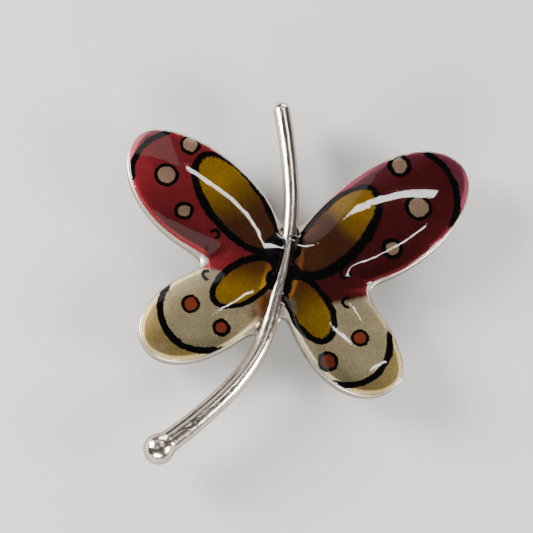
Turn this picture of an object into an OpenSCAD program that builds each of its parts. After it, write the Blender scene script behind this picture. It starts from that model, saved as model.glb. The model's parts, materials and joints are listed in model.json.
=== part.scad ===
// Butterfly brooch: four printed wings under clear resin, a bent rod for the body, and a pin finding behind.
// It lies face up on its pin finding. +Z is the way the wings face and +Y is the butterfly's head end.

/* [Wing plate] */
// Height of the back of the wings above the bottom of the pin finding
back_z = 5; // [4.9:0.1:6]
// Thickness of the wing plate
plate_t = 2; // [1.6:0.1:2.6]
// Thickness of the printed inlays, which is also the depth of their recess
print_t = 0.12; // [0.1:0.01:0.3]
// Width of the metal rim around the inlays
rim_w = 0.2; // [0.15:0.05:0.4]
// Height of the resin domes above the rim
dome_h = 1.2; // [0.6:0.1:1.6]
// Radius of the metal webs that fill the notches
web_r = 1.1; // [0.6:0.1:1.6]

/* [Left fore wing] */
// Length from root to tip
left_fore_len = 26; // [24:0.5:28]
// Direction of the axis, anticlockwise from +X
left_fore_dir = 147; // [143:1:151]
// Widest reach above the axis
left_fore_upper = 6.4; // [5.5:0.1:7]
// Widest reach below the axis
left_fore_lower = 8.4; // [7.5:0.1:9]

/* [Left hind wing] */
// Length from root to tip
left_hind_len = 22.3; // [20:0.1:24]
// Direction of the axis, anticlockwise from +X
left_hind_dir = 213; // [209:1:217]
// Widest reach above the axis
left_hind_upper = 6.5; // [5.5:0.1:7.5]
// Widest reach below the axis
left_hind_lower = 5.5; // [4.5:0.1:6.5]

/* [Right fore wing] */
// Length from root to tip
right_fore_len = 30.1; // [28:0.1:32]
// Direction of the axis, anticlockwise from +X
right_fore_dir = 36.8; // [33:0.1:41]
// Widest reach above the axis
right_fore_upper = 6.4; // [5.5:0.1:7]
// Widest reach below the axis
right_fore_lower = 9.3; // [8:0.1:10]

/* [Right hind wing] */
// Length from root to tip
right_hind_len = 22.4; // [20:0.1:24]
// Direction of the axis, anticlockwise from +X
right_hind_dir = -39; // [-43:1:-35]
// Widest reach above the axis
right_hind_upper = 5.9; // [5:0.1:7]
// Widest reach below the axis
right_hind_lower = 6.7; // [5.5:0.1:7.5]

/* [Body rod] */
// Diameter at the top end
rod_top_d = 2.6; // [2.2:0.1:3]
// Diameter where the rod crosses the wings
rod_waist_d = 2.2; // [1.8:0.1:2.6]
// Diameter just above the ball
rod_tail_d = 3.4; // [2.8:0.1:3.8]
// Diameter of the ball
ball_d = 4.4; // [3.8:0.1:5]
// Height of the rod's centre line above the back of the wings
rod_rise = 1.6; // [1.4:0.1:2]
// Height of the rod's flat seat above the back of the wings
seat_rise = 0.6; // [0.4:0.1:0.9]

/* [Pin finding] */
// Distance of the hinge from the rod
hinge_reach = 13; // [11:0.5:14]
// Distance of the catch from the rod
catch_reach = 12; // [10:0.5:13]
// Height of the pin's axis above the bottom of the finding
pin_z = 1.9; // [1.9:0.05:2.1]
// Diameter of the pin
pin_d = 0.9; // [0.7:0.05:1]
// Gap between the two ears of the hinge
ear_gap = 1.1; // [1:0.05:1.4]
// Diameter of the rivet
rivet_d = 0.8; // [0.6:0.05:0.9]
// Thickness of the pads that are soldered to the back
pad_t = 0.6; // [0.4:0.1:0.7]

/* [Hidden] */
$fn = 48;

bright_metal = [0.78, 0.75, 0.71];
pin_metal = [0.70, 0.70, 0.70];
wine_red = [0.42, 0.10, 0.13];
clear_resin = [0.95, 0.93, 0.88, 0.45];

// The wings meet at this point. It lies beside the middle of the brooch, which is the origin.
root = [-0.95, 5.01];

// A wing: place of its root, direction, length, reach on the left and right of its axis,
// and how far each side's widest place leans towards the tip.
left_fore = [[-1.8, 0.4], left_fore_dir, left_fore_len, left_fore_lower, left_fore_upper, 0, 0];
left_hind = [[0, -4.4], left_hind_dir, left_hind_len, left_hind_lower, left_hind_upper, 0.24, 0.09];
right_fore = [[1.3, -0.7], right_fore_dir, right_fore_len, right_fore_upper, right_fore_lower, 0.29, -0.1];
right_hind = [[0.9, -3.3], right_hind_dir, right_hind_len, right_hind_upper, right_hind_lower, -0.18, 0.28];

rim_z = back_z + plate_t;
print_z = rim_z - print_t;
rod_z = back_z + rod_rise;
seat_z = back_z + seat_rise;
edge_steps = 24;
resin_edge_t = 0.3;
barrel_fn = 360;

// The rod's centre line passes through these points, from the top end to the ball.
rod_route = [[-3.1, 23.6], [-1.7, 18.3], [-0.5, 12.6], [0.25, 7], [0.3, 0.5],
    [-0.5, -6.8], [-1.8, -14.2], [-4.7, -20.3], [-9.4, -26.3], [-14.5, -31.5]];
rod_spans = len(rod_route) - 1;
rod_steps_per_span = 6;
rod_stations = rod_spans * rod_steps_per_span;
rod_sides = 20;
waist_u = 4.5;
hub_from_u = 3.3;
hub_to_u = 6;
print_from_u = 3.7;
print_to_u = 5.6;
channel_from_u = 2.5;
channel_to_u = 7;
band_steps = 32;
beside_u = 0.05;
far = 45;

// The boss under each pad of the finding
boss_t = 0.3;
boss_w = 5.2;
boss_d = 4.8;
pad_w = 5;
pad_d = 4.4;
pad_corner_r = 0.8;
finding_y = 4;
hinge_x = -hinge_reach;
catch_x = catch_reach;
pad_z = back_z - boss_t - pad_t;

// Hinge
pin_r = pin_d / 2;
rivet_r = rivet_d / 2;
running_gap = 0.03;
side_gap = 0.05;
ear_r = 1.9;
ear_t = 0.6;
eye_r = 1.25;
eye_neck_len = 2;
eye_neck_h = 1.1;
pin_to = 23;
rivet_head_r = 0.75;
rivet_head_t = 0.3;
point_len = 4.2;
point_r = 0.06;

// Catch
catch_len = 2.6;
housing_r = 1.9;
housing_bore_r = 1.35;
mouth_w = 1.5;
rotor_gap = 0.05;
rotor_r = housing_bore_r - rotor_gap;
rotor_bore_r = 0.75;
rotor_slot_w = 1.2;
flange_r = 1.6;
flange_t = 0.5;
tab_reach = 2.6;
tab_w = 1;
tab_angle = -10;
neck_w = 1.9;

// A point on a wing's edge. turn runs from 0 at the root to 180 at the tip, side is 1 for left, -1 for right.
function edge_point(wing, turn, side) =
    let (along = wing[2] / 2 * (1 - cos(turn)),
        reach = side > 0 ? wing[3] : wing[4],
        lean = side > 0 ? wing[5] : wing[6],
        across = side * reach * sin(turn) * (1 - lean * cos(turn)))
    wing[0] + [along * cos(wing[1]) - across * sin(wing[1]), along * sin(wing[1]) + across * cos(wing[1])];

function wing_edge(wing) = concat(
    [for (i = [0:edge_steps - 1]) edge_point(wing, 180 * i / edge_steps, -1)],
    [for (i = [edge_steps:-1:1]) edge_point(wing, 180 * i / edge_steps, 1)]);

function wing_middle(wing) = wing[0] + wing[2] / 2 * [cos(wing[1]), sin(wing[1])];

// A smooth curve through the route's points. u counts the points from 0.
function route_point(i) = rod_route[max(0, min(rod_spans, i))];
function curve(a, b, c, d, t) =
    0.5 * (2 * b + (c - a) * t + (2 * a - 5 * b + 4 * c - d) * t * t + (3 * b - a - 3 * c + d) * t * t * t);
function rod_point(u) =
    let (i = min(rod_spans - 1, floor(u)))
    curve(route_point(i - 1), route_point(i), route_point(i + 1), route_point(i + 2), u - i);
function unit(v) = v / norm(v);
function rod_left(u) =
    let (along = unit(rod_point(min(rod_spans, u + beside_u)) - rod_point(max(0, u - beside_u))))
    [-along[1], along[0]];
function rod_r(u) = u < waist_u
    ? (rod_top_d + (rod_waist_d - rod_top_d) * sin(90 * u / waist_u)) / 2
    : (rod_waist_d + (rod_tail_d - rod_waist_d) * pow((u - waist_u) / (rod_spans - waist_u), 1.3)) / 2;

// The rod's rings, as [middle, direction to its left, radius, lowest height]: the round top end,
// the rod itself, and the ball, which starts where the rod's surface enters it.
round_steps = 4;
ball_steps = 10;
round_u = 0.22;
least_ring = 0.05;
tail = rod_route[rod_spans];
tail_left = rod_left(rod_spans);
tail_along = [tail_left[1], -tail_left[0]];
ball_r = ball_d / 2;
neck_angle = -acos(rod_tail_d / ball_d);
neck_u = rod_spans + ball_r * sin(neck_angle) / norm(tail - rod_route[rod_spans - 1]);
function rod_ring(u, share) = [rod_point(u), rod_left(u), max(least_ring, share * rod_r(u)), seat_z];
function ball_ring(angle) =
    [tail + ball_r * sin(angle) * tail_along, tail_left, max(least_ring, ball_r * cos(angle)), 0];
rod_rings = concat(
    [for (i = [0:round_steps - 1])
        let (turn = 90 * i / round_steps) rod_ring(round_u * (1 - cos(turn)), sin(turn))],
    [for (i = [0:rod_stations - 1]) rod_ring(round_u + (neck_u - round_u) * i / rod_stations, 1)],
    [for (i = [0:ball_steps]) ball_ring(neck_angle + (90 - neck_angle) * i / ball_steps)]);

module placed() {
    translate([root[0], root[1], 0]) children();
}

// The rod seen from above, between two places on its route
module rod_band(from_u, to_u) {
    steps = band_steps;
    us = [for (i = [0:steps]) from_u + (to_u - from_u) * i / steps];
    left = [for (u = us) rod_point(u) + rod_r(u) * rod_left(u)];
    right = [for (i = [steps:-1:0]) rod_point(us[i]) - rod_r(us[i]) * rod_left(us[i])];
    polygon(concat(left, right));
}

module wing_shapes(grow) {
    for (wing = [left_fore, left_hind, right_fore, right_hind]) {
        offset(delta = grow) polygon(wing_edge(wing));
    }
}

// Joins its children and fills their inner corners with a radius
module webbed(radius) {
    offset(r = -radius, $fn = 32) offset(delta = radius) children();
}

module plate_outline() {
    webbed(web_r) {
        wing_shapes(rim_w / 2);
        rod_band(hub_from_u, hub_to_u);
    }
}

// Everything on one side of the rod's centre line. side is -1 for left, 1 for right.
module side_of_rod(side) {
    middle = [for (i = [0:rod_stations]) rod_point(i / rod_steps_per_span)];
    polygon(concat([[side * far, far]], middle, [[side * far, -far]]));
}

module print_outline(side) {
    intersection() {
        side_of_rod(side);
        difference() {
            offset(delta = -rim_w) webbed(web_r) {
                wing_shapes(rim_w / 2);
                rod_band(print_from_u, print_to_u);
            }
            rod_band(channel_from_u, channel_to_u);
        }
    }
}

module finding_boss(x) {
    translate([x, finding_y, back_z - boss_t]) rounded_pad(boss_w, boss_d, boss_t + plate_t / 2);
}

// A flat block with round corners
module rounded_pad(w, d, t) {
    r = pad_corner_r;
    linear_extrude(t) {
        square([w - 2 * r, d], center = true);
        square([w, d - 2 * r], center = true);
        for (x = [-1, 1], y = [-1, 1]) {
            translate([x * (w / 2 - r), y * (d / 2 - r)]) circle(r);
        }
    }
}

module wing_plate() {
    color(bright_metal) placed() difference() {
        union() {
            translate([0, 0, back_z]) linear_extrude(plate_t) plate_outline();
            finding_boss(hinge_x);
            finding_boss(catch_x);
        }
        translate([0, 0, seat_z]) linear_extrude(plate_t) rod_band(channel_from_u, channel_to_u);
        translate([0, 0, print_z]) linear_extrude(plate_t) {
            print_outline(-1);
            print_outline(1);
        }
    }
}

module body_rod() {
    step = 360 / rod_sides;
    points = [for (ring = rod_rings, k = [0:rod_sides - 1])
        let (p = ring[0] + ring[2] * cos(k * step) * ring[1])
        [p[0], p[1], max(ring[3], rod_z + ring[2] * sin(k * step))]];
    last = len(rod_rings) - 1;
    sides = [for (i = [0:last - 1], k = [0:rod_sides - 1], half = [0, 1])
        let (a = i * rod_sides + k, b = i * rod_sides + (k + 1) % rod_sides)
        half == 0 ? [a, a + rod_sides, b] : [b, a + rod_sides, b + rod_sides]];
    ends = [[for (k = [0:rod_sides - 1]) k], [for (k = [rod_sides - 1:-1:0]) last * rod_sides + k]];
    color(bright_metal) placed() polyhedron(points, concat(sides, ends), convexity = 8);
}

module wing_print(side) {
    color(wine_red) placed() translate([0, 0, print_z]) linear_extrude(print_t) print_outline(side);
}

module left_wing_print() {
    wing_print(-1);
}

module right_wing_print() {
    wing_print(1);
}

// The radius of an arc that rises by dome_h over half its chord
function arc_r(half_chord) = (half_chord * half_chord + dome_h * dome_h) / (2 * dome_h);

// One wing's dome is the top of a barrel that lies along the wing.
module dome(wing) {
    half_w = (wing[3] + wing[4]) / 2;
    across_r = arc_r(half_w);
    along_r = arc_r(wing[2] / 2);
    middle = wing_middle(wing) + (wing[3] - wing[4]) / 2 * [-sin(wing[1]), cos(wing[1])];
    translate([middle[0], middle[1], rim_z + dome_h - across_r])
        rotate([0, 90, wing[1]])
        rotate_extrude($fn = barrel_fn)
        intersection() {
            translate([across_r - along_r, 0]) circle(along_r, $fn = barrel_fn);
            translate([0, -wing[2] / 2]) square([across_r, wing[2]]);
        }
}

module wing_resin(side, fore, hind) {
    color(clear_resin) placed() intersection() {
        union() {
            dome(fore);
            dome(hind);
            translate([0, 0, rim_z]) linear_extrude(resin_edge_t) print_outline(side);
        }
        translate([0, 0, rim_z]) linear_extrude(2 * dome_h) print_outline(side);
    }
}

module left_wing_resin() {
    wing_resin(-1, left_fore, left_hind);
}

module right_wing_resin() {
    wing_resin(1, right_fore, right_hind);
}

// Turns a shape drawn in X and Y so that it stands across the pin's hinge, thick along Y
module ear_shape(r) {
    circle(r);
    translate([-r * 0.8, 0]) square([r * 1.6, pad_z + pad_t / 2 - pin_z]);
}

module pin_joint() {
    color(pin_metal) placed() translate([hinge_x, finding_y, 0]) difference() {
        union() {
            translate([0, 0, pad_z]) rounded_pad(pad_w, pad_d, pad_t);
            for (side = [-1, 1]) {
                translate([0, side * (ear_gap + ear_t) / 2, pin_z])
                    rotate([90, 0, 0])
                    linear_extrude(ear_t, center = true)
                    ear_shape(ear_r);
            }
        }
        translate([0, 0, pin_z]) rotate([90, 0, 0]) cylinder(r = rivet_r, h = 2 * pad_d, center = true);
    }
}

module joint_rivet() {
    shank = ear_gap + 2 * ear_t;
    color(bright_metal) placed() translate([hinge_x, finding_y, pin_z]) rotate([90, 0, 0]) {
        cylinder(r = rivet_r, h = shank, center = true);
        for (side = [-1, 1]) {
            translate([0, 0, side * (shank + rivet_head_t) / 2])
                cylinder(r = rivet_head_r, h = rivet_head_t, center = true);
        }
    }
}

module pin_stem() {
    eye_t = ear_gap - 2 * side_gap;
    color(pin_metal) placed() translate([hinge_x, finding_y, pin_z]) difference() {
        union() {
            rotate([90, 0, 0]) cylinder(r = eye_r, h = eye_t, center = true);
            translate([0, -eye_t / 2, -eye_neck_h / 2]) cube([eye_neck_len, eye_t, eye_neck_h]);
            translate([eye_neck_len, 0, 0]) rotate([0, 90, 0]) cylinder(r = pin_r, h = pin_to - eye_neck_len);
            translate([pin_to, 0, 0])
                rotate([0, 90, 0])
                cylinder(r1 = pin_r, r2 = point_r, h = point_len);
        }
        rotate([90, 0, 0]) cylinder(r = rivet_r + running_gap, h = 2 * eye_t, center = true);
    }
}

// Stands a shape drawn in X and Y across the pin, so that X becomes Y and Y becomes Z
module across_pin(length) {
    rotate([90, 0, 90]) linear_extrude(length, center = true) children();
}

module catch_housing() {
    color(pin_metal) placed() translate([catch_x, finding_y, 0]) {
        translate([0, 0, pad_z]) rounded_pad(catch_len, pad_d, pad_t);
        translate([0, 0, pin_z]) across_pin(catch_len) difference() {
            union() {
                circle(housing_r);
                translate([-neck_w / 2, 0]) square([neck_w, pad_z + pad_t / 2 - pin_z]);
            }
            circle(housing_bore_r);
            translate([-mouth_w / 2, -2 * housing_r]) square([mouth_w, 2 * housing_r]);
        }
    }
}

module catch_rotor() {
    flange_x = (catch_len + flange_t) / 2 + side_gap;
    color(bright_metal) placed() translate([catch_x, finding_y, pin_z]) {
        across_pin(catch_len + 2 * side_gap + flange_t) slotted_ring(rotor_r);
        for (side = [-1, 1]) {
            translate([side * flange_x, 0, 0]) across_pin(flange_t) slotted_ring(flange_r);
        }
        translate([flange_x, 0, 0]) across_pin(flange_t) rotate(tab_angle) {
            translate([rotor_r, -tab_w / 2]) square([tab_reach - tab_w / 2 - rotor_r, tab_w]);
            translate([tab_reach - tab_w / 2, 0]) circle(tab_w / 2);
        }
    }
}

// A ring that is open at the bottom, so that the pin can leave it
module slotted_ring(r) {
    difference() {
        circle(r);
        circle(rotor_bore_r);
        translate([-rotor_slot_w / 2, -2 * r]) square([rotor_slot_w, 2 * r]);
    }
}

wing_plate();
body_rod();
left_wing_print();
right_wing_print();
left_wing_resin();
right_wing_resin();
pin_joint();
joint_rivet();
pin_stem();
catch_housing();
catch_rotor();
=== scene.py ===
import json
import math

import bpy
import numpy as np
from mathutils import Matrix, Vector, noise
from mathutils.geometry import delaunay_2d_cdt

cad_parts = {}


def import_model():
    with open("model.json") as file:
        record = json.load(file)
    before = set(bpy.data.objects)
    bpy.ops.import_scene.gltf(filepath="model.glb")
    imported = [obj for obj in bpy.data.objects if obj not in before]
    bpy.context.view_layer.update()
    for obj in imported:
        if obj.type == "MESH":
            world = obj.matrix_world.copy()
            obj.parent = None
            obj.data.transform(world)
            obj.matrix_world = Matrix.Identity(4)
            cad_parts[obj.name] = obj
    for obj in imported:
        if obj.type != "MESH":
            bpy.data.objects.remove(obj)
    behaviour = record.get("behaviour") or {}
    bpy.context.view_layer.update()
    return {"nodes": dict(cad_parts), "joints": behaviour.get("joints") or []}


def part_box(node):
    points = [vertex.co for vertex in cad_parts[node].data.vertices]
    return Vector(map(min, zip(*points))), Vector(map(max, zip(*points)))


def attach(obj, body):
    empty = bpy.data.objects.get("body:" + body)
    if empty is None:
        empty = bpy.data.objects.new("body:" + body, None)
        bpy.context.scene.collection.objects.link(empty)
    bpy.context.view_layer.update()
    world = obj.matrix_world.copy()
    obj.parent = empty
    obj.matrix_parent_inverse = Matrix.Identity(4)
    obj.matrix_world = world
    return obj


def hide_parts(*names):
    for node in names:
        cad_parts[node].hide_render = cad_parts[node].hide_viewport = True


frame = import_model()

# ---------------------------------------------------------------- sizes, in millimetres
# Flat shapes are drawn in a plane whose zero is the point where the four wings meet.

MM = 0.001
JOINTS = {joint["name"]: Vector(joint["pos_m"]) / MM for joint in frame["joints"]}
# The hinge's place from the point where the wings meet, which gives that point in the frame
HINGE_REACH = 13.0
FINDING_Y = 4.0
HINGE = JOINTS["pin_stem_hinge"]
CROSSING = np.array([HINGE.x + HINGE_REACH, HINGE.y - FINDING_Y])

# The bosses are the low pads on the back that carry the pin finding.
BOSS_T = 0.3
BOSS_HALF = np.array([2.6, 2.4])
BOSS_CORNER_R = 0.8
BOSS_FOOT = 0.24
BOSS_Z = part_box("wing_plate")[0].z / MM
BACK_Z = BOSS_Z + BOSS_T
RIM_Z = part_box("left_wing_print")[1].z / MM
PRINT_T = RIM_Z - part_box("left_wing_print")[0].z / MM
DOME_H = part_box("left_wing_resin")[1].z / MM - RIM_Z
ROD_LOW, ROD_HIGH = (corner.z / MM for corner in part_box("body_rod"))
ROD_Z = (ROD_LOW + ROD_HIGH) / 2
BALL_R = (ROD_HIGH - ROD_LOW) / 2
ROD_SEAT_T = 0.6
SEAT_Z = BACK_Z + ROD_SEAT_T
RIM_W = 0.2
EDGE_R = 0.1
WEB_DIP = 0.45

# The area that every outline is traced in
AREA_LOW, AREA_HIGH = (-26, -22), (30, 22)


class Egg:
    """An egg-shaped outline: its blunt ends lie on an axis, and each side has its own reach and lean."""

    def __init__(self, root, turn, length, left, right, lean_left=0.0, lean_right=0.0):
        self.root = root
        self.turn = math.radians(turn)
        self.length = length
        self.left, self.right = left, right
        self.lean_left, self.lean_right = lean_left, lean_right

    def field(self, points):
        """Roughly how far each point lies outside the outline."""
        axis = np.array([math.cos(self.turn), math.sin(self.turn)])
        rel = points - np.array(self.root)
        along = 2 * (rel @ axis) / self.length - 1
        across = rel @ np.array([-axis[1], axis[0]])
        lean = np.clip(along, -1, 1)
        reach = np.where(across > 0, self.left * (1 + self.lean_left * lean),
                         self.right * (1 + self.lean_right * lean))
        share = np.maximum(np.hypot(along, across / reach), 1e-6)
        slope = np.hypot(along / share * 2 / self.length, across / share / reach**2)
        return (share - 1) / slope


LEFT_FORE = Egg((-1.8, 0.4), 147, 26.0, 8.4, 6.4)
LEFT_HIND = Egg((0.0, -4.4), 213, 22.3, 5.5, 6.5, 0.24, 0.09)
RIGHT_FORE = Egg((1.3, -0.7), 36.8, 30.1, 6.4, 9.3, 0.29, -0.1)
RIGHT_HIND = Egg((0.9, -3.3), -39, 22.4, 5.9, 6.7, -0.18, 0.28)

# The rod's centre line, from the top end to the ball
ROD_ROUTE = np.array([(-3.1, 23.6), (-1.7, 18.3), (-0.5, 12.6), (0.25, 7), (0.3, 0.5),
                      (-0.5, -6.8), (-1.8, -14.2), (-4.7, -20.3), (-9.4, -26.3), (-14.5, -31.5)])
ROD_TOP_D, ROD_WAIST_D, ROD_TAIL_D = 2.6, 2.2, 3.4
WAIST_U = 4.5
SPANS = len(ROD_ROUTE) - 1


# ---------------------------------------------------------------- flat shapes
# A field says roughly how far a point lies outside a shape, so it is below zero inside.

# How softly a fore wing runs into its hind wing
NOTCH_FILL = 4.4
CORE_X, CORE_Y, CORE_R = 3.4, -2.0, 2.5


def smooth_min(a, b, width):
    """The union of two fields, rounded where they meet"""
    blend = np.maximum(width - np.abs(a - b), 0) / width
    return np.minimum(a, b) - blend * blend * width / 4


def smooth_max(a, b, width):
    """The overlap of two fields, rounded where they meet"""
    return -smooth_min(-a, -b, width)


def rod_point(u):
    """A place on the rod's centre line. u counts the route's points."""
    u = np.atleast_1d(np.asarray(u, float))
    i = np.clip(u.astype(int), 0, SPANS - 1)
    t = (u - i)[:, None]
    a, b, c, d = (ROD_ROUTE[np.clip(i + k, 0, SPANS)] for k in (-1, 0, 1, 2))
    return 0.5 * (2 * b + (c - a) * t + (2 * a - 5 * b + 4 * c - d) * t**2 + (3 * b - a - 3 * c + d) * t**3)


def rod_radius(u):
    """Half the rod's thickness at a place along it"""
    u = np.asarray(u, float)
    upper = ROD_TOP_D + (ROD_WAIST_D - ROD_TOP_D) * np.sin(np.pi / 2 * np.clip(u / WAIST_U, 0, 1))
    lower = ROD_WAIST_D + (ROD_TAIL_D - ROD_WAIST_D) * np.clip((u - WAIST_U) / (SPANS - WAIST_U), 0, 1)**1.3
    return np.where(u < WAIST_U, upper, lower) / 2


LINE_U = np.linspace(0, SPANS, 91)
LINE = rod_point(LINE_U)


def from_rod(points):
    """Distance of each point from the rod's centre line, positive towards -X, and the place u."""
    start, step = LINE[:-1], np.diff(LINE, axis=0)
    rel = points[:, None] - start[None]
    t = np.clip((rel * step).sum(2) / (step**2).sum(1), 0, 1)
    gap = rel - t[..., None] * step
    distance = np.hypot(gap[..., 0], gap[..., 1])
    nearest = distance.argmin(1)
    rows = np.arange(len(points))
    beside = step[nearest, 0] * rel[rows, nearest, 1] - step[nearest, 1] * rel[rows, nearest, 0]
    u = LINE_U[nearest] + t[rows, nearest] * (LINE_U[1] - LINE_U[0])
    return np.where(beside < 0, 1, -1) * distance[rows, nearest], u


def hub_field(points, head_y, tail_y):
    """The strip of plate or print that lies under the rod, between two places along it."""
    distance, u = from_rod(points)
    strip = np.abs(distance) - rod_radius(u)
    return smooth_max(strip, np.maximum(points[:, 1] - head_y, tail_y - points[:, 1]), 0.8)


def core_field(points, side):
    """The middle of a side, where its two wings run together"""
    return np.hypot(points[:, 0] + side * CORE_X, points[:, 1] - CORE_Y) - CORE_R


def plate_field(points):
    """The cast plate's outline"""
    field = hub_field(points, 4.0, -12.5)
    field = np.minimum(field, np.minimum(core_field(points, 1), core_field(points, -1)))
    for fore, hind in ((LEFT_FORE, LEFT_HIND), (RIGHT_FORE, RIGHT_HIND)):
        wings = smooth_min(fore.field(points), hind.field(points), NOTCH_FILL)
        field = smooth_min(field, wings - RIM_W / 2, 2.2)
    return field


# Half the width of the rod that stays bare between the two prints, at places along +Y
BARE_Y = (-12.0, -9.5, -6.0, -1.0, 2.2, 3.2, 4.6)
BARE_HALF = (1.3, 0.85, 0.66, 0.45, 0.42, 0.85, 1.25)


def print_field(points, side):
    """The print's outline. side is 1 left of the rod and -1 right of it."""
    fore, hind = (LEFT_FORE, LEFT_HIND) if side > 0 else (RIGHT_FORE, RIGHT_HIND)
    wings = smooth_min(fore.field(points), hind.field(points), NOTCH_FILL - 0.6)
    wings = smooth_min(wings, core_field(points, side), 1.0)
    field = smooth_min(wings, hub_field(points, 2.3, -8.0), 2.0) + RIM_W / 2
    distance, u = from_rod(points)
    bare = np.minimum(np.interp(points[:, 1], BARE_Y, BARE_HALF), rod_radius(u))
    return smooth_max(field, bare - side * distance, 0.25)


def settled(field, points):
    """Points moved onto the place where the field is zero"""
    step = 0.01
    for _ in range(5):
        slope = np.stack([field(points + shift) - field(points - shift)
                          for shift in (np.array([step, 0]), np.array([0, step]))], 1) / (2 * step)
        move = (field(points) / np.maximum((slope**2).sum(1), 0.05))[:, None] * slope
        points = points - np.clip(move, -0.15, 0.15)
    return points


def evenly(loop, step):
    """The same closed loop with evenly spaced points"""
    closed = np.vstack([loop, loop[:1]])
    run = np.concatenate([[0], np.cumsum(np.hypot(*np.diff(closed, axis=0).T))])
    at = np.arange(round(run[-1] / step)) * run[-1] / round(run[-1] / step)
    return np.stack([np.interp(at, run, closed[:, 0]), np.interp(at, run, closed[:, 1])], 1)


def outline_of(field, low, high, step, pitch=0.35):
    """The anticlockwise outline of the area where the field is below zero"""
    xs, ys = np.arange(low[0], high[0], pitch), np.arange(low[1], high[1], pitch)
    grid = np.stack([field(np.stack([xs, np.full(len(xs), y)], 1)) for y in ys])
    inside = grid < 0
    mixed = inside[:-1, :-1].astype(int) + inside[:-1, 1:] + inside[1:, 1:] + inside[1:, :-1]
    after = {}
    for j, i in np.argwhere((mixed > 0) & (mixed < 4)):
        corners = [(j, i), (j, i + 1), (j + 1, i + 1), (j + 1, i)]
        exits, entries = [], []
        for k in range(4):
            one, two = corners[k], corners[(k + 1) % 4]
            if inside[one] and not inside[two]:
                exits.append((k, tuple(sorted((one, two)))))
            elif inside[two] and not inside[one]:
                entries.append((k, tuple(sorted((one, two)))))
        for k, crossing in exits:
            after[crossing] = min(entries, key=lambda entry: (entry[0] - k) % 4)[1]
    longest = []
    while after:
        crossing = next(iter(after))
        loop = []
        while crossing in after:
            loop.append(crossing)
            crossing = after.pop(crossing)
        longest = max(longest, loop, key=len)
    points = []
    for one, two in longest:
        share = grid[one] / (grid[one] - grid[two])
        points.append([(1 - share) * xs[one[1]] + share * xs[two[1]],
                       (1 - share) * ys[one[0]] + share * ys[two[0]]])
    loop = settled(field, evenly(np.array(points), step))
    return settled(field, evenly(loop, step))


def normals_of(loop):
    """The outward directions along an anticlockwise loop"""
    along = np.roll(loop, -1, 0) - np.roll(loop, 1, 0)
    along /= np.hypot(along[:, 0], along[:, 1])[:, None]
    return np.stack([along[:, 1], -along[:, 0]], 1)


def honeycomb(low, high, pitch):
    """Points in staggered rows"""
    rows = np.arange(low[1], high[1], pitch * math.sqrt(3) / 2)
    return np.array([(x + (k % 2) * pitch / 2, y) for k, y in enumerate(rows)
                     for x in np.arange(low[0], high[0], pitch)])


def fill(edge, field, insets, pitch, extra_loops=()):
    """Triangles that fill an outline: rings near its edge, and a honeycomb inside them."""
    points, lines = list(edge), []
    outward = normals_of(edge)
    loops = [edge - inset * outward for inset in insets]
    wanted = [np.abs(field(loop) + inset) < 0.35 * inset + 0.02 for loop, inset in zip(loops, insets)]
    loops += list(extra_loops)
    wanted += [np.ones(len(loop), bool) for loop in extra_loops]
    for loop, keep in zip(loops, wanted):
        first = len(points)
        numbers = np.cumsum(keep) - 1 + first
        points += list(loop[keep])
        lines += [(int(numbers[i]), int(numbers[(i + 1) % len(loop)]))
                  for i in range(len(loop)) if keep[i] and keep[(i + 1) % len(loop)]]
    inner = honeycomb(edge.min(0), edge.max(0), pitch)
    inner = inner[field(inner) < -(max(insets) + 0.6 * pitch)]
    for loop in extra_loops:
        gap = np.hypot(*(inner[:, None] - loop[None]).transpose(2, 0, 1)).min(1)
        inner = inner[gap > 0.45 * pitch]
    points += list(inner)
    border = [list(range(len(edge)))]
    made = delaunay_2d_cdt([Vector(p) for p in points], lines, border, 1, 1e-6)
    where = np.array([tuple(v) for v in made[0]])
    faces = np.array([f for f in made[2] if len(f) == 3])
    faces = faces[field(where[faces].mean(1)) < 0.02]
    used, faces = np.unique(faces, return_inverse=True)
    return where[used], faces.reshape(-1, 3)


def border_edges(faces):
    """The edges that only one triangle uses, in that triangle's direction"""
    edges = {(int(f[k]), int(f[(k + 1) % 3])) for f in faces for k in range(3)}
    return sorted((a, b) for a, b in edges if (b, a) not in edges)


def domed(where, faces, fixed, height, reach):
    """A liquid's surface: it holds the heights given at its border and bulges by height between them."""
    a, b, c = (where[faces[:, k]] for k in range(3))
    area = np.abs((b - a)[:, 0] * (c - a)[:, 1] - (b - a)[:, 1] * (c - a)[:, 0]) / 2
    mass = np.bincount(faces.ravel(), np.repeat(area / 3, 3), len(where))
    rows, cols, weights = [], [], []
    for k in range(3):
        i, j, o = faces[:, k], faces[:, (k + 1) % 3], faces[:, (k + 2) % 3]
        to_i, to_j = where[i] - where[o], where[j] - where[o]
        cot = (to_i * to_j).sum(1) / np.maximum(2 * area, 1e-9) / 2
        rows += [i, j]
        cols += [j, i]
        weights += [cot, cot]
    rows, cols, weights = np.concatenate(rows), np.concatenate(cols), np.concatenate(weights)
    weights = np.maximum(weights, 1e-4)
    diagonal = np.bincount(rows, weights, len(where)) + mass / reach**2
    free = ~np.isfinite(fixed)

    def applied(x):
        return diagonal * x - np.bincount(rows, weights * x[cols], len(where))

    def solved(load, held):
        start = np.where(free, 0, held)
        x = np.zeros(len(where))
        left = np.where(free, load - applied(start), 0)
        guess = left / diagonal
        strength = left @ guess
        for _ in range(900):
            push = np.where(free, applied(guess), 0)
            step = strength / (guess @ push)
            x += step * guess
            left = left - step * push
            scaled = left / diagonal
            fresh = left @ scaled
            if fresh < 1e-14:
                break
            guess = scaled + fresh / strength * guess
            strength = fresh
        return x + start

    bulge = solved(mass, np.zeros(len(where)))
    carried = solved(np.zeros(len(where)), np.where(free, 0, fixed))
    return carried + height * bulge / bulge.max()


# ---------------------------------------------------------------- solid pieces

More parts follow.
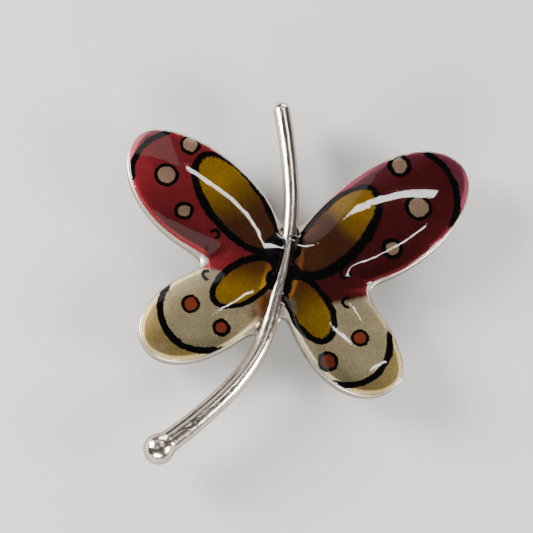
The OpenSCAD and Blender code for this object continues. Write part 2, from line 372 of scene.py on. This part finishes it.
def make_piece(name, points, faces, body, nodes, sharp=40):
    """A piece from points in millimetres, with its edges marked sharp where the surface turns."""
    mesh = bpy.data.meshes.new(name)
    mesh.from_pydata([tuple(p) for p in np.asarray(points) * MM], [], [tuple(map(int, f)) for f in faces])
    mesh.validate()
    piece = bpy.data.objects.new(name, mesh)
    bpy.context.scene.collection.objects.link(piece)
    mesh.shade_smooth()
    mesh.set_sharp_from_angle(angle=math.radians(sharp))
    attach(piece, body)
    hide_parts(*nodes)


def slab(name, where, faces, top, bottom, nodes, sharp=40):
    """A closed solid between two height fields over the same triangles."""
    count = len(where)
    placed = where + CROSSING
    points = np.vstack([np.column_stack([placed, top]), np.column_stack([placed, bottom])])
    wall = [(b, a, a + count, b + count) for a, b in border_edges(faces)]
    under = faces[:, ::-1] + count
    make_piece(name, points, list(faces) + list(under) + wall, "brooch", nodes, sharp)


def rounded_edge(depth, radius):
    """How far a surface drops near a rounded edge, by the depth inside the outline"""
    return radius * (1 - np.sqrt(np.clip(1 - (1 - np.clip(depth / radius, 0, 1))**2, 0, 1)))


def over_rod(where, clearance):
    """Height of the rod's surface above each point, or very low beside it"""
    distance, u = from_rod(where)
    inside = np.maximum(rod_radius(u)**2 - distance**2, 0)
    return np.where(inside > 0, ROD_Z + np.sqrt(inside) + clearance, 0)


EDGE_STEP = 0.22
LIP = 0.16
LIP_REACH = 0.22
DOME_REACH = 4.2
print_edges = {}
for side_name, side in (("left", 1), ("right", -1)):
    def side_field(points, side=side):
        return print_field(points, side)

    edge = outline_of(side_field, AREA_LOW, AREA_HIGH, EDGE_STEP)
    print_edges[side_name] = edge

    # The print lies in the plate and climbs the rod's flank.
    where, faces = fill(edge, side_field, (0.08, 0.25, 0.5), 0.5)
    climb = np.maximum(RIM_Z, over_rod(where, 0.02))
    slab(f"{side_name}_print", where, faces, climb, climb - PRINT_T, [f"{side_name}_wing_print"])

    # The resin: a low upright lip, then the dome
    where, faces = fill(edge, side_field, (0.03, 0.08, 0.16, 0.3, 0.5, 0.75, 1.05), 0.42)
    border = np.zeros(len(where), bool)
    border[[a for a, b in border_edges(faces)]] = True
    on_rod = np.maximum(over_rod(where, 0.03) - RIM_Z, 0)
    held = np.where(border, on_rod, np.nan)
    rise = domed(where, faces, held, DOME_H - LIP, DOME_REACH)
    depth = np.clip(-side_field(where), 0, None)
    round_off = LIP * np.sqrt(np.clip(1 - (1 - np.clip(depth / LIP_REACH, 0, 1))**2, 0, 1))
    top = RIM_Z + rise + np.where(on_rod > 0.1, 0.02, round_off) + 0.01
    # The underside is sunk into the print, so that it casts no reflection of its own.
    base = np.maximum(RIM_Z, over_rod(where, 0.02)) - PRINT_T / 3
    slab(f"{side_name}_resin", where, faces, top, base, [f"{side_name}_wing_resin"])


def plate_solid():
    """The cast plate: a raised rim round the prints, a dip between the wings, and bosses on its back"""
    edge = outline_of(plate_field, AREA_LOW, AREA_HIGH, 0.25)
    hinge_at = np.array([-HINGE_REACH, FINDING_Y])
    catch_at = np.array([JOINTS["catch_rotor_turn"].x - CROSSING[0], FINDING_Y])

    def boss_field(points):
        """The two round-cornered bosses under the hinge and the catch"""
        fields = []
        for middle in (hinge_at, catch_at):
            gap = np.abs(points - middle) - BOSS_HALF + BOSS_CORNER_R
            fields.append(np.hypot(*np.maximum(gap, 0).T) + np.minimum(gap.max(1), 0) - BOSS_CORNER_R)
        return np.minimum(*fields)

    loops = []
    for middle in (hinge_at, catch_at):
        for out in (0.0, BOSS_FOOT / 2, BOSS_FOOT):
            loops.append(outline_of(lambda p, out=out: boss_field(p) - out, middle - 4, middle + 4, 0.22))
    for line in print_edges.values():
        loops += [line - 0.03 * normals_of(line), line - 0.10 * normals_of(line)]
    where, faces = fill(edge, plate_field, (0.04, 0.1), 0.8, loops)
    depth = np.clip(-plate_field(where), 0, None)
    in_print = np.minimum(print_field(where, 1), print_field(where, -1))
    drop = rounded_edge(depth, EDGE_R)
    web_dip = WEB_DIP * np.clip(in_print / 1.4, 0, 1)**1.5
    top = RIM_Z - drop - web_dip
    top = np.where(in_print < -0.06, RIM_Z - PRINT_T - 0.02, top)
    distance, u = from_rod(where)
    top = np.where(np.abs(distance) < rod_radius(u) * 0.8, np.minimum(top, SEAT_Z), top)
    boss = np.clip(1 - boss_field(where) / BOSS_FOOT, 0, 1)
    bottom = BACK_Z + drop - BOSS_T * boss * boss * (3 - 2 * boss)
    slab("wing_plate_casting", where, faces, top, bottom, ["wing_plate"], 50)


plate_solid()


def rod_solid():
    """The bent rod with its ball: rings of points along the route, with a slight hand-polished swell"""
    sides_round, neck_blend = 72, 0.5
    end = rod_point(SPANS)[0]
    run = np.concatenate([[0], np.cumsum(np.hypot(*np.diff(LINE, axis=0).T))])
    total = run[-1]
    top_r = rod_radius(0.2)
    cap = top_r * (1 - np.cos(np.linspace(0.02, np.pi / 2, 14)))
    body = np.linspace(cap[-1], total - BALL_R, 330)[1:]
    ball = total - BALL_R * np.cos(np.linspace(0, np.pi, 60))[1:-1]
    points = []
    for s in np.concatenate([cap, body, ball]):
        u = np.interp(min(s, total), run, LINE_U)
        near = rod_point([max(u - 0.03, 0), min(u + 0.03, SPANS)])
        along = (near[1] - near[0]) / np.hypot(*(near[1] - near[0]))
        middle = rod_point(u)[0] if s < total else end + (s - total) * along
        left = np.array([-along[1], along[0]])
        bulb = math.sqrt(max(BALL_R**2 - (s - total)**2, 1e-4))
        shaft = float(rod_radius(u)) if s < total else 0.0
        radius = float(smooth_max(np.array(shaft), np.array(bulb), neck_blend)) if s < total else bulb
        if s < top_r:
            radius *= math.sqrt(max(1 - (1 - s / top_r)**2, 1e-3))
        flat = SEAT_Z if s < total - BALL_R * 0.9 else ROD_Z - BALL_R
        for k in range(sides_round):
            angle = 2 * math.pi * k / sides_round
            place = Vector((middle[0], middle[1], ROD_Z)) + radius * Vector(
                (math.cos(angle) * left[0], math.cos(angle) * left[1], math.sin(angle)))
            swell = 1 + 0.010 * noise.noise(place * 0.45) + 0.006 * noise.noise(place * 1.1)
            across = middle + radius * swell * math.cos(angle) * left
            high = ROD_Z + radius * swell * math.sin(angle)
            points.append((across[0] + CROSSING[0], across[1] + CROSSING[1], max(flat, high)))
    rings = len(points) // sides_round
    faces = []
    for i in range(rings - 1):
        for k in range(sides_round):
            a, b = i * sides_round + k, i * sides_round + (k + 1) % sides_round
            faces.append((a, a + sides_round, b + sides_round, b))
    faces.append(tuple(range(sides_round)))
    faces.append(tuple((rings - 1) * sides_round + k for k in reversed(range(sides_round))))
    make_piece("bent_rod", points, faces, "brooch", ["body_rod"], 50)


rod_solid()


# ---------------------------------------------------------------- materials

class Value:
    """A number that varies over a surface, as a shader node's socket, with the usual sums."""

    def __init__(self, tree, socket):
        self.tree, self.socket = tree, socket

    def math(self, operation, *others):
        node = self.tree.nodes.new("ShaderNodeMath")
        node.operation = operation
        for slot, value in zip(node.inputs, (self, *others)):
            if isinstance(value, Value):
                self.tree.links.new(value.socket, slot)
            else:
                slot.default_value = value
        return Value(self.tree, node.outputs[0])

    def __add__(self, other):
        return self.math("ADD", other)

    def __sub__(self, other):
        return self.math("SUBTRACT", other)

    def __mul__(self, other):
        return self.math("MULTIPLY", other)

    def __truediv__(self, other):
        return self.math("DIVIDE", other)

    def __neg__(self):
        return self.math("MULTIPLY", -1.0)

    def most(self, other):
        return self.math("MAXIMUM", other)

    def size(self):
        return self.math("ABSOLUTE")

    def root(self):
        return self.math("SQRT")

    def ramp(self, start, end, low=0.0, high=1.0):
        """Runs smoothly from low at start to high at end."""
        node = self.tree.nodes.new("ShaderNodeMapRange")
        node.interpolation_type = "SMOOTHSTEP"
        self.tree.links.new(self.socket, node.inputs["Value"])
        for name, value in zip(("From Min", "From Max", "To Min", "To Max"), (start, end, low, high)):
            node.inputs[name].default_value = value
        return Value(self.tree, node.outputs["Result"])


def longer(x, y):
    """The length of two values at right angles"""
    return (x * x + y * y).root()


def rgb(red, green, blue):
    """A colour given in 0 to 255, as a linear colour"""
    def linear(v):
        v /= 255
        return v / 12.92 if v <= 0.04045 else ((v + 0.055) / 1.055)**2.4
    return (linear(red), linear(green), linear(blue), 1.0)


def new_material(name):
    """A material with an empty node tree and its output"""
    material = bpy.data.materials.new(name)
    material.use_nodes = True
    tree = material.node_tree
    tree.nodes.clear()
    output = tree.nodes.new("ShaderNodeOutputMaterial")
    return material, tree, output


def place_in(tree):
    """The object's own coordinates"""
    return tree.nodes.new("ShaderNodeTexCoord").outputs["Object"]


def noise_at(tree, place, per_mm, detail=2.0, rough=0.5, distortion=0.0):
    """Noise from 0 to 1, with about per_mm features in each millimetre"""
    node = tree.nodes.new("ShaderNodeTexNoise")
    tree.links.new(place, node.inputs["Vector"])
    node.inputs["Scale"].default_value = per_mm / MM
    node.inputs["Detail"].default_value = detail
    node.inputs["Roughness"].default_value = rough
    node.inputs["Distortion"].default_value = distortion
    return Value(tree, node.outputs["Fac"])


def mix_color(tree, share, first, second):
    """A colour between two, by a share from 0 to 1. Each may be a socket or a constant."""
    node = tree.nodes.new("ShaderNodeMix")
    node.data_type = "RGBA"
    for socket, value in ((node.inputs[0], share), (node.inputs[6], first), (node.inputs[7], second)):
        if isinstance(value, Value):
            tree.links.new(value.socket, socket)
        elif isinstance(value, bpy.types.NodeSocket):
            tree.links.new(value, socket)
        else:
            socket.default_value = value
    return node.outputs[2]


def bump_of(tree, height, strength, distance_mm, before=None):
    """A normal bent by a height, on top of an earlier one"""
    node = tree.nodes.new("ShaderNodeBump")
    node.inputs["Strength"].default_value = strength
    node.inputs["Distance"].default_value = distance_mm * MM
    tree.links.new(height.socket, node.inputs["Height"])
    if before is not None:
        tree.links.new(before, node.inputs["Normal"])
    return node.outputs["Normal"]


# Linear colours of the platings, and of every metal's reflection at grazing angles
WARM_SILVER = (0.64, 0.545, 0.46, 1)
PALE_SILVER = (0.63, 0.565, 0.48, 1)
NICKEL = (0.74, 0.73, 0.71, 1)
METAL_EDGE = (0.55, 0.50, 0.46, 1)


def plated_metal(name, color, smooth, rough, pit_depth, grain_depth):
    """Plated casting: fine pits, a slight orange-peel wave and a patchy polish"""
    material, tree, output = new_material(name)
    shader = tree.nodes.new("ShaderNodeBsdfPrincipled")
    place = place_in(tree)
    patches = noise_at(tree, place, 0.35, 3)
    speckle = noise_at(tree, place, 4.5, 4, 0.65)
    dulled = tuple(0.86 * v for v in color[:3]) + (1,)
    base = mix_color(tree, patches.ramp(0.35, 0.7), color, dulled)
    tree.links.new(base, shader.inputs["Base Color"])
    shader.inputs["Metallic"].default_value = 1.0
    shader.inputs["Specular Tint"].default_value = METAL_EDGE
    gloss = (patches * 0.7 + speckle * 0.3).ramp(0.3, 0.7, smooth, rough)
    tree.links.new(gloss.socket, shader.inputs["Roughness"])
    pits = speckle.ramp(0.58, 0.74, 1.0, 0.0)
    wave = noise_at(tree, place, 0.9, 2)
    normal = bump_of(tree, wave, 0.5, grain_depth)
    normal = bump_of(tree, pits, 0.4, pit_depth, normal)
    tree.links.new(normal, shader.inputs["Normal"])
    tree.links.new(shader.outputs[0], output.inputs["Surface"])
    return material


def clear_resin(name):
    """A clear coat seen through: reflection by angle over a see-through body"""
    material, tree, output = new_material(name)
    place = place_in(tree)
    see = tree.nodes.new("ShaderNodeBsdfTransparent")
    see.inputs["Color"].default_value = (0.985, 0.975, 0.955, 1)
    shine = tree.nodes.new("ShaderNodeBsdfGlossy")
    shine.inputs["Roughness"].default_value = 0.035
    wave = noise_at(tree, place, 0.28, 2)
    fine = noise_at(tree, place, 1.6, 2)
    normal = bump_of(tree, wave, 0.35, 0.05)
    normal = bump_of(tree, fine, 0.10, 0.01, normal)
    tree.links.new(normal, shine.inputs["Normal"])
    by_angle = tree.nodes.new("ShaderNodeFresnel")
    by_angle.inputs["IOR"].default_value = 1.53
    tree.links.new(normal, by_angle.inputs["Normal"])
    mix = tree.nodes.new("ShaderNodeMixShader")
    tree.links.new(by_angle.outputs[0], mix.inputs[0])
    tree.links.new(see.outputs[0], mix.inputs[1])
    tree.links.new(shine.outputs[0], mix.inputs[2])
    tree.links.new(mix.outputs[0], output.inputs["Surface"])
    return material


class Picture:
    """The printed picture, painted layer by layer over the wings. Places and sizes are in millimetres."""

    SOFT = 0.05
    WOBBLE = 0.55
    RAG = 0.42

    def __init__(self, name, ground):
        self.material, self.tree, output = new_material(name)
        place = place_in(self.tree)
        parts = self.tree.nodes.new("ShaderNodeSeparateXYZ")
        self.tree.links.new(place, parts.inputs[0])
        wobble_x = noise_at(self.tree, place, 0.8, 3) - 0.5
        wobble_y = noise_at(self.tree, place, 0.83, 3, distortion=0.4) - 0.5
        self.x = Value(self.tree, parts.outputs[0]) / MM - float(CROSSING[0]) + wobble_x * self.WOBBLE
        self.y = Value(self.tree, parts.outputs[1]) / MM - float(CROSSING[1]) + wobble_y * self.WOBBLE
        self.rag = (noise_at(self.tree, place, 3.2, 3, 0.7) - 0.5) * self.RAG
        self.weave = noise_at(self.tree, place, 4.2, 3, 0.75)
        self.cloud = noise_at(self.tree, place, 0.25, 3)
        self.color = ground
        self.shader = self.tree.nodes.new("ShaderNodeBsdfPrincipled")
        self.tree.links.new(self.shader.outputs[0], output.inputs["Surface"])

    def egg(self, shape):
        """How far outside an egg-shaped mark each place is"""
        cos, sin = math.cos(shape.turn), math.sin(shape.turn)
        dx, dy = self.x - shape.root[0], self.y - shape.root[1]
        along = (dx * cos + dy * sin) * (2 / shape.length) - 1.0
        across = dy * cos - dx * sin
        to_left = across / (along * shape.lean_left + 1.0) / shape.left
        to_right = across / (along * shape.lean_right + 1.0) / shape.right
        reach = to_left.most(-to_right)
        return (longer(along, reach) - 1.0) * min(shape.left, shape.right)

    def spot(self, x, y, wide, high=None):
        """How far outside a round or oval spot each place is"""
        high = high or wide
        return (longer((self.x - x) / wide, (self.y - y) / high) - 1.0) * min(wide, high)

    def around(self, x, y, toward):
        """The distance from a point, and the cosine of the angle away from a direction"""
        dx, dy = self.x - x, self.y - y
        distance = longer(dx, dy)
        angle = math.radians(toward)
        return distance, (dx * math.cos(angle) + dy * math.sin(angle)) / distance

    def arc(self, x, y, radius, toward, half, width):
        """A stroke along part of a circle. It thins out towards its ends."""
        distance, facing = self.around(x, y, toward)
        end = math.cos(math.radians(half))
        thick = facing.ramp(end, end + 0.35 * (1 - end), 0.0, width / 2)
        return (distance - radius).size() - thick + (facing.ramp(end - 0.02, end, 0.4, 0.0))

    def outside(self, x, y, radius, toward, half):
        """Below zero beyond a circle, on one side of it"""
        distance, facing = self.around(x, y, toward)
        return (-(distance - radius)).most((-(facing - math.cos(math.radians(half)))) * 4.0)

    def paint(self, field, color, soft=None):
        """Lays a colour where the field is below zero, with a ragged edge."""
        soft = soft or self.SOFT
        share = (field + self.rag).ramp(-soft, soft, 1.0, 0.0)
        self.color = mix_color(self.tree, share, self.color, color)

    def between(self, share, first, second):
        """A colour that runs from one to another across the wing"""
        return mix_color(self.tree, share, first, second)

    def finish(self):
        """Printing screen, ink variation and a slight paper tooth"""
        fleck = self.weave.ramp(0.25, 0.75, 0.74, 1.24)
        cloudy = self.cloud.ramp(0.3, 0.7, 0.90, 1.08)
        scale = self.tree.nodes.new("ShaderNodeVectorMath")
        scale.operation = "SCALE"
        self.tree.links.new(self.color, scale.inputs[0])
        self.tree.links.new((fleck * cloudy).socket, scale.inputs["Scale"])
        self.tree.links.new(scale.outputs[0], self.shader.inputs["Base Color"])
        self.shader.inputs["Roughness"].default_value = 0.6
        self.shader.inputs["Specular IOR Level"].default_value = 0.0
        tooth = bump_of(self.tree, self.weave, 0.25, 0.02)
        self.tree.links.new(tooth, self.shader.inputs["Normal"])
        return self.material


INK = rgb(9, 7, 7)
CREAM = rgb(246, 230, 186)
CREAM_EDGE = rgb(238, 212, 146)
WINE = rgb(182, 58, 66)
DARK_WINE = rgb(116, 34, 38)
PINK_EDGE = rgb(184, 88, 106)
# The plum is the print's band beyond the right fore wing's tip arc, and also a painted sheen along that wing's
# upper-left side
PLUM_TIP_AND_SHEEN = rgb(164, 76, 98)
GOLD = rgb(216, 168, 28)
AMBER = rgb(134, 84, 34)
BROWN = rgb(116, 66, 38)
PALE_DOT = rgb(226, 190, 160)
RED_DOT = rgb(206, 94, 66)


def ringed_spot(picture, x, y, inner, outer, color):
    """A dot with an ink ring round it"""
    picture.paint(picture.spot(x, y, outer), INK)
    picture.paint(picture.spot(x, y, inner), color)


def curl(picture, x, y, radius, stroke, toward):
    """A small open ring of ink"""
    picture.paint(picture.arc(x, y, radius, toward, 140, stroke), INK)


def left_picture():
    """The two left wings, from the ground colour up"""
    p = Picture("print_left_wings", WINE)
    p.paint(p.outside(-16.9, 9.6, 6.8, 152, 75), PINK_EDGE, 0.3)
    p.paint(p.y + 4.4, CREAM, 0.45)
    hind = p.outside(-10.8, -10.4, 6.2, 222, 100)
    p.paint(hind.most(p.y + 4.4), CREAM_EDGE, 0.3)
    p.paint(p.spot(-2.2, -8.2, 1.6, 3.0), AMBER, 1.2)
    p.paint(p.arc(-16.9, 9.6, 6.8, 152, 50, 0.85), INK)
    p.paint(p.arc(-10.8, -10.4, 6.2, 222, 84, 1.0), INK)
    ringed_spot(p, -15.8, 14.6, 1.05, 1.55, PALE_DOT)
    ringed_spot(p, -18.65, 9.35, 1.3, 1.85, PALE_DOT)
    ringed_spot(p, -15.4, 4.1, 0.9, 1.45, PALE_DOT)
    ringed_spot(p, -12.7, -9.9, 0.95, 1.4, RED_DOT)
    ringed_spot(p, -7.9, -12.8, 0.8, 1.35, RED_DOT)
    curl(p, -10.5, 1.2, 0.58, 0.5, 40)
    curl(p, -10.9, -5.2, 0.62, 0.52, 180)
    p.paint(p.egg(Egg((-1.2, -0.4), 133, 18.9, 4.9, 3.9, 0.05, 0.1)), INK)
    p.paint(p.egg(Egg((-1.0, -1.5), 221, 11.6, 3.3, 3.3, 0.05, 0.0)), INK)
    p.paint(p.spot(0.2, -0.9, 2.6, 3.9), INK)
    fore_fill = p.between((p.x * -0.55 + p.y * 0.83 + p.cloud * 3.0).ramp(7.5, 16.0), BROWN, GOLD)
    p.paint(p.egg(Egg((-2.0, 0.6), 133, 16.6, 3.8, 3.05, 0.0, 0.15)), fore_fill)
    hind_fill = p.between((-p.y + p.cloud * 2.0).ramp(3.6, 8.0), AMBER, GOLD)
    p.paint(p.egg(Egg((-1.8, -2.3), 221, 9.6, 2.4, 2.3, 0.1, 0.05)), hind_fill)
    p.paint(p.spot(-1.2, 0.6, 1.9, 2.0), INK)
    p.paint(p.spot(-1.1, -4.5, 1.3, 1.7), INK)
    p.paint(((p.x - 0.1).size() - 1.45).most((p.y + 0.7).size() - 3.6), INK)
    return p.finish()


def right_picture():
    """The two right wings, from the ground colour up, with a painted sheen along the fore wing's upper-left
    side
    """
    p = Picture("print_and_sheen_right_wings", DARK_WINE)
    # Painted sheen: a broad plum band on the fore wing's upper-left side stands in for the reflection of an
    # overhead light in the dome
    painted_sheen_side = (p.x - 1.3) * 0.6 - (p.y + 0.7) * 0.8
    p.paint(painted_sheen_side + 4.8, PLUM_TIP_AND_SHEEN, 2.4)
    # The plum band beyond the tip's arc is the print's own colour
    p.paint(p.outside(16.7, 11.2, 8.2, 24, 80), PLUM_TIP_AND_SHEEN, 0.3)
    cream_line = (p.x - 7.8) * -0.34 + (p.y + 6.9) * 0.94
    p.paint(cream_line, CREAM, 0.55)
    p.paint(p.outside(10.2, -12.3, 6.45, -42, 88).most(cream_line), CREAM_EDGE, 0.3)
    p.paint(p.arc(16.7, 11.2, 8.2, 24, 54, 1.0), INK)
    p.paint(p.arc(10.2, -12.3, 6.45, -42, 70, 0.95), INK)
    ringed_spot(p, 15.7, 16.2, 1.15, 1.85, PALE_DOT)
    ringed_spot(p, 19.1, 10.0, 1.5, 2.1, PALE_DOT)
    ringed_spot(p, 15.7, 2.9, 1.0, 1.65, PALE_DOT)
    ringed_spot(p, 12.2, -11.4, 0.88, 1.35, RED_DOT)
    ringed_spot(p, 7.9, -15.6, 1.0, 1.55, RED_DOT)
    curl(p, 9.2, -1.9, 0.7, 0.5, 250)
    curl(p, 9.8, -6.4, 0.68, 0.48, 180)
    p.paint(p.egg(Egg((0.6, -3.2), 51.6, 19.4, 3.5, 5.4, 0.2, -0.1)), INK)
    p.paint(p.egg(Egg((0.9, -3.5), -54.8, 11.5, 3.7, 3.1, 0.05, 0.05)), INK)
    p.paint(p.spot(0.4, -2.5, 1.5, 5.2), INK)
    fore_fill = p.between((p.x * 0.62 + p.y * 0.78 + p.cloud * 3.0).ramp(9.2, 14.0), BROWN, GOLD)
    p.paint(p.egg(Egg((1.3, -2.0), 51.6, 16.9, 2.5, 4.0, 0.25, -0.1)), fore_fill)
    hind_fill = p.between((p.x * 0.58 - p.y * 0.82 + p.cloud * 2.0).ramp(6.5, 12.0), AMBER, GOLD)
    p.paint(p.egg(Egg((1.5, -4.3), -54.8, 9.5, 2.6, 2.1, 0.05, 0.05)), hind_fill)
    p.paint(p.spot(1.2, -2.7, 1.4, 1.2), INK)
    p.paint(p.spot(0.6, 1.6, 1.9, 3.0), INK)
    p.paint(((p.x - 0.1).size() - 1.4).most((p.y + 1.6).size() - 4.7), INK)
    return p.finish()


def give(name, material):
    """Puts a material on a piece that this script made."""
    mesh = bpy.data.objects[name].data
    mesh.materials.clear()
    mesh.materials.append(material)


rod_metal = plated_metal("polished_rod", WARM_SILVER, 0.10, 0.26, 0.02, 0.03)
plate_metal = plated_metal("cast_plate", PALE_SILVER, 0.24, 0.36, 0.008, 0.05)
finding_metal = plated_metal("finding_plate", NICKEL, 0.2, 0.36, 0.01, 0.02)
resin = clear_resin("domed_resin")
give("bent_rod", rod_metal)
give("wing_plate_casting", plate_metal)
give("left_print", left_picture())
give("right_print", right_picture())
give("left_resin", resin)
give("right_resin", resin)


def soften_node(name, material, width_mm):
    """A CAD part keeps its shape and gets slightly rounded edges and its metal."""
    node = frame["nodes"][name]
    weld = node.modifiers.new("weld", "WELD")
    weld.merge_threshold = 0.002 * MM
    bevel = node.modifiers.new("bevel", "BEVEL")
    bevel.width = width_mm * MM
    bevel.segments = 2
    bevel.limit_method = "ANGLE"
    bevel.angle_limit = math.radians(40)
    node.modifiers.new("shading", "WEIGHTED_NORMAL").weight = 90
    node.data.materials.clear()
    node.data.materials.append(material)


for part in ("pin_joint", "joint_rivet", "pin_stem", "catch_housing", "catch_rotor"):
    soften_node(part, finding_metal, 0.06)


# ---------------------------------------------------------------- floor, light and camera

def floor():
    """A plain pale plane under the pin finding"""
    bpy.ops.mesh.primitive_plane_add(size=2.0, location=(0, 0, 0))
    plane = bpy.context.object
    plane.name = "floor"
    material, tree, output = new_material("pale_floor")
    shader = tree.nodes.new("ShaderNodeBsdfPrincipled")
    shader.inputs["Base Color"].default_value = (0.37, 0.362, 0.35, 1)
    shader.inputs["Roughness"].default_value = 0.75
    tree.links.new(shader.outputs[0], output.inputs["Surface"])
    plane.data.materials.append(material)


def area_light(name, place_mm, size_mm, watts, along=0):
    """A rectangular light that faces the brooch, with its long side at an angle to +X."""
    data = bpy.data.lights.new(name, "AREA")
    data.shape = "RECTANGLE"
    data.size, data.size_y = size_mm[0] * MM, size_mm[1] * MM
    data.energy = watts
    light = bpy.data.objects.new(name, data)
    bpy.context.scene.collection.objects.link(light)
    away = (Vector(place_mm) - Vector((0, 0, RIM_Z))).normalized()
    across = away.cross(Vector((math.cos(math.radians(along)), math.sin(math.radians(along)), 0))).normalized()
    turn = Matrix((across.cross(away), across, away)).transposed().to_4x4()
    light.matrix_world = Matrix.Translation(Vector(place_mm) * MM) @ turn


def camera():
    """The photo's view: from above, a little from the left, and rolled"""
    distance, lens, sensor = 260.0, 120.3, 36.0
    azimuth, elevation, roll = (math.radians(v) for v in (-13.5, 70.0, 20.85))
    back = Vector((math.sin(azimuth) * math.cos(elevation), -math.cos(azimuth) * math.cos(elevation),
                   math.sin(elevation)))
    level = Vector((0, 0, 1)).cross(back).normalized()
    upward = back.cross(level)
    right = math.cos(roll) * level + math.sin(roll) * upward
    up = math.cos(roll) * upward - math.sin(roll) * level
    aim = Vector((CROSSING[0], CROSSING[1], RIM_Z)) - 2.70 * right - 2.12 * up
    data = bpy.data.cameras.new("camera")
    data.lens, data.sensor_width = lens, sensor
    data.clip_start, data.clip_end = 0.01, 10
    eye = bpy.data.objects.new("camera", data)
    bpy.context.scene.collection.objects.link(eye)
    turn = Matrix((right, up, back)).transposed().to_4x4()
    eye.matrix_world = Matrix.Translation((aim + distance * back) * MM) @ turn
    bpy.context.scene.camera = eye


def world():
    """A weak, even light from all round"""
    light = bpy.data.worlds.new("studio")
    light.use_nodes = True
    light.node_tree.nodes["Background"].inputs["Color"].default_value = (0.92, 0.95, 1.0, 1)
    light.node_tree.nodes["Background"].inputs["Strength"].default_value = 0.10
    bpy.context.scene.world = light


floor()
camera()
world()
# Narrow strips draw the long highlights on the domes
area_light("strip_back", (50, 147, 258), (125, 12), 0.14, along=-14)
area_light("strip_right", (106, 48, 277), (76, 5), 0.036, along=44)
area_light("strip_left", (38, 62, 291), (34, 6), 0.02, along=10)
# Wide, weak ones lay a soft sheen on the slopes that face left
area_light("sheen_back", (-90, 186, 216), (150, 110), 0.055)
area_light("sheen_left", (-84, -36, 284), (100, 80), 0.03)
# Low, wide lights fill in from the sides
area_light("left_soft", (-270, 60, 150), (120, 160), 3.9)
area_light("right_soft", (270, -60, 150), (100, 120), 2.0)
area_light("front_soft", (-40, -290, 140), (200, 90), 2.3)
area_light("back_soft", (60, 280, 110), (220, 80), 0.7)

bpy.context.view_layer.update()
